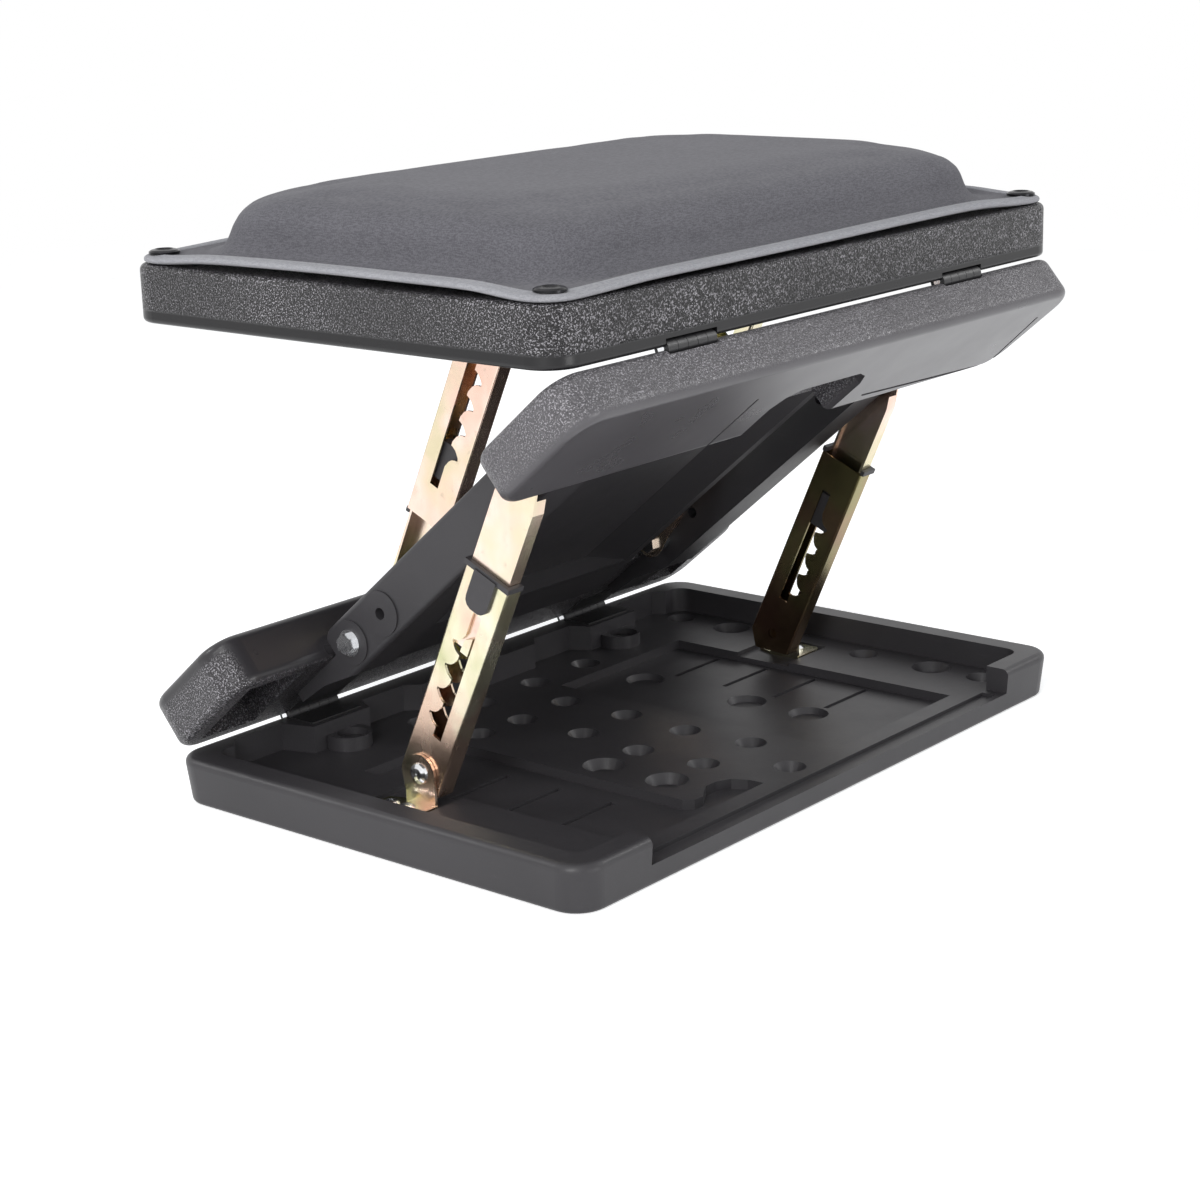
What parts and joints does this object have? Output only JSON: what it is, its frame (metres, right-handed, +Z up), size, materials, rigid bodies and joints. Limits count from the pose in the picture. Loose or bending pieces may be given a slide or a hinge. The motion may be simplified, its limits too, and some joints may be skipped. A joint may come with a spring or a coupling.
{
  "type": "footrest",
  "caption": "Folding under-desk footrest raised on telescopic steel struts, with a padded grey cushion held by press studs on a black moulded tray",
  "frame": {"origin": "middle of the base tray's footprint, on the floor", "axes": "X is the width, +Y points to the lower hinge line, +Z is up"},
  "size_m": [0.44, 0.3153, 0.3282],
  "materials": {
    "tray_plastic": "satin",
    "grained_plastic": "grained",
    "hinge_plastic": "satin",
    "cap_plastic": "satin",
    "zinc_steel": "yellow zinc plated",
    "bright_steel": "polished",
    "cushion_fabric": "woven",
    "hem_fabric": "woven",
    "snap_metal": "gloss"
  },
  "bodies": {
    "base": {"base_tray": "tray_plastic", "base_hinge_leaf_left": "hinge_plastic", "base_hinge_leaf_right": "hinge_plastic", "base_hinge_pins": "bright_steel", "bracket_lower_left": "zinc_steel", "bracket_lower_right": "zinc_steel", "bracket_screws_lower": "bright_steel"},
    "lift": {"lift_panel": "tray_plastic", "lift_arm_left": "tray_plastic", "lift_arm_right": "tray_plastic", "lift_flap_lower": "grained_plastic", "lift_flap_upper": "grained_plastic", "lift_hinge_leaf_lower_left": "hinge_plastic", "lift_hinge_leaf_lower_right": "hinge_plastic", "lift_hinge_leaf_upper_left": "hinge_plastic", "lift_hinge_leaf_upper_right": "hinge_plastic", "arm_bolts": "bright_steel", "arm_nuts": "bright_steel"},
    "top": {"top_plate": "grained_plastic", "top_hinge_leaf_left": "hinge_plastic", "top_hinge_leaf_right": "hinge_plastic", "top_hinge_pins": "bright_steel", "bracket_upper_left": "zinc_steel", "bracket_upper_right": "zinc_steel", "bracket_screws_upper": "bright_steel", "snap_studs": "snap_metal"},
    "cushion": {"cushion_pad": "cushion_fabric", "cushion_hem": "hem_fabric", "snap_caps": "snap_metal"},
    "channel_lower_left": {"strut_channel_lower_left": "zinc_steel", "strut_cap_lower_left": "cap_plastic", "strut_rivet_lower_left": "bright_steel"},
    "slider_lower_left": {"strut_slider_lower_left": "zinc_steel", "strut_pawl_lower_left": "zinc_steel", "strut_spring_lower_left": "cap_plastic", "strut_bolt_lower_left": "bright_steel"},
    "channel_lower_right": {"strut_channel_lower_right": "zinc_steel", "strut_cap_lower_right": "cap_plastic", "strut_rivet_lower_right": "bright_steel"},
    "slider_lower_right": {"strut_slider_lower_right": "zinc_steel", "strut_pawl_lower_right": "zinc_steel", "strut_spring_lower_right": "cap_plastic", "strut_bolt_lower_right": "bright_steel"},
    "channel_upper_left": {"strut_channel_upper_left": "zinc_steel", "strut_cap_upper_left": "cap_plastic", "strut_rivet_upper_left": "bright_steel"},
    "slider_upper_left": {"strut_slider_upper_left": "zinc_steel", "strut_pawl_upper_left": "zinc_steel", "strut_spring_upper_left": "cap_plastic", "strut_bolt_upper_left": "bright_steel"},
    "channel_upper_right": {"strut_channel_upper_right": "zinc_steel", "strut_cap_upper_right": "cap_plastic", "strut_rivet_upper_right": "bright_steel"},
    "slider_upper_right": {"strut_slider_upper_right": "zinc_steel", "strut_pawl_upper_right": "zinc_steel", "strut_spring_upper_right": "cap_plastic", "strut_bolt_upper_right": "bright_steel"}
  },
  "joints": [
    {"name": "base_fold", "type": "hinge", "parent": "base", "child": "lift", "pos_m": [0, 0.1415, 0.027], "axis": [1, 0, 0], "range_deg": [0, 40.15]},
    {"name": "top_fold", "type": "hinge", "parent": "lift", "child": "top", "pos_m": [0, -0.1352, 0.26041], "axis": [-1, 0, 0], "range_deg": [0, 40.15]},
    {"name": "cushion_lift", "type": "slide", "parent": "top", "child": "cushion", "axis": [0, 0, 1], "range_m": [0, 0.08]},
    {"name": "strut_turn_lower_left", "type": "hinge", "parent": "base", "child": "channel_lower_left", "pos_m": [0, 0.0132, 0.026], "axis": [1, 0, 0], "range_deg": [0, 65.08]},
    {"name": "strut_slide_lower_left", "type": "slide", "parent": "channel_lower_left", "child": "slider_lower_left", "axis": [0, -0.4154, 0.9096], "range_m": [-0.04963, 0]},
    {"name": "strut_turn_lower_right", "type": "hinge", "parent": "base", "child": "channel_lower_right", "pos_m": [0, 0.0132, 0.026], "axis": [1, 0, 0], "range_deg": [0, 65.08]},
    {"name": "strut_slide_lower_right", "type": "slide", "parent": "channel_lower_right", "child": "slider_lower_right", "axis": [0, -0.4154, 0.9096], "range_m": [-0.04963, 0]},
    {"name": "strut_turn_upper_left", "type": "hinge", "parent": "top", "child": "channel_upper_left", "pos_m": [0, -0.0069, 0.26141], "axis": [1, 0, 0], "range_deg": [0, 65.08]},
    {"name": "strut_slide_upper_left", "type": "slide", "parent": "channel_upper_left", "child": "slider_upper_left", "axis": [0, 0.4154, -0.9096], "range_m": [-0.04963, 0]},
    {"name": "strut_turn_upper_right", "type": "hinge", "parent": "top", "child": "channel_upper_right", "pos_m": [0, -0.0069, 0.26141], "axis": [1, 0, 0], "range_deg": [0, 65.08]},
    {"name": "strut_slide_upper_right", "type": "slide", "parent": "channel_upper_right", "child": "slider_upper_right", "axis": [0, 0.4154, -0.9096], "range_m": [-0.04963, 0]}
  ],
  "couplings": [
    {"joint": "strut_turn_lower_left", "follows": "base_fold", "ratio": 1.6205},
    {"joint": "strut_slide_lower_left", "follows": "base_fold", "m_per_rad": -0.070807},
    {"joint": "strut_turn_lower_right", "follows": "base_fold", "ratio": 1.6205},
    {"joint": "strut_slide_lower_right", "follows": "base_fold", "m_per_rad": -0.070807},
    {"joint": "strut_turn_upper_left", "follows": "top_fold", "ratio": 1.6205},
    {"joint": "strut_slide_upper_left", "follows": "top_fold", "m_per_rad": -0.070807},
    {"joint": "strut_turn_upper_right", "follows": "top_fold", "ratio": 1.6205},
    {"joint": "strut_slide_upper_right", "follows": "top_fold", "m_per_rad": -0.070807}
  ]
}
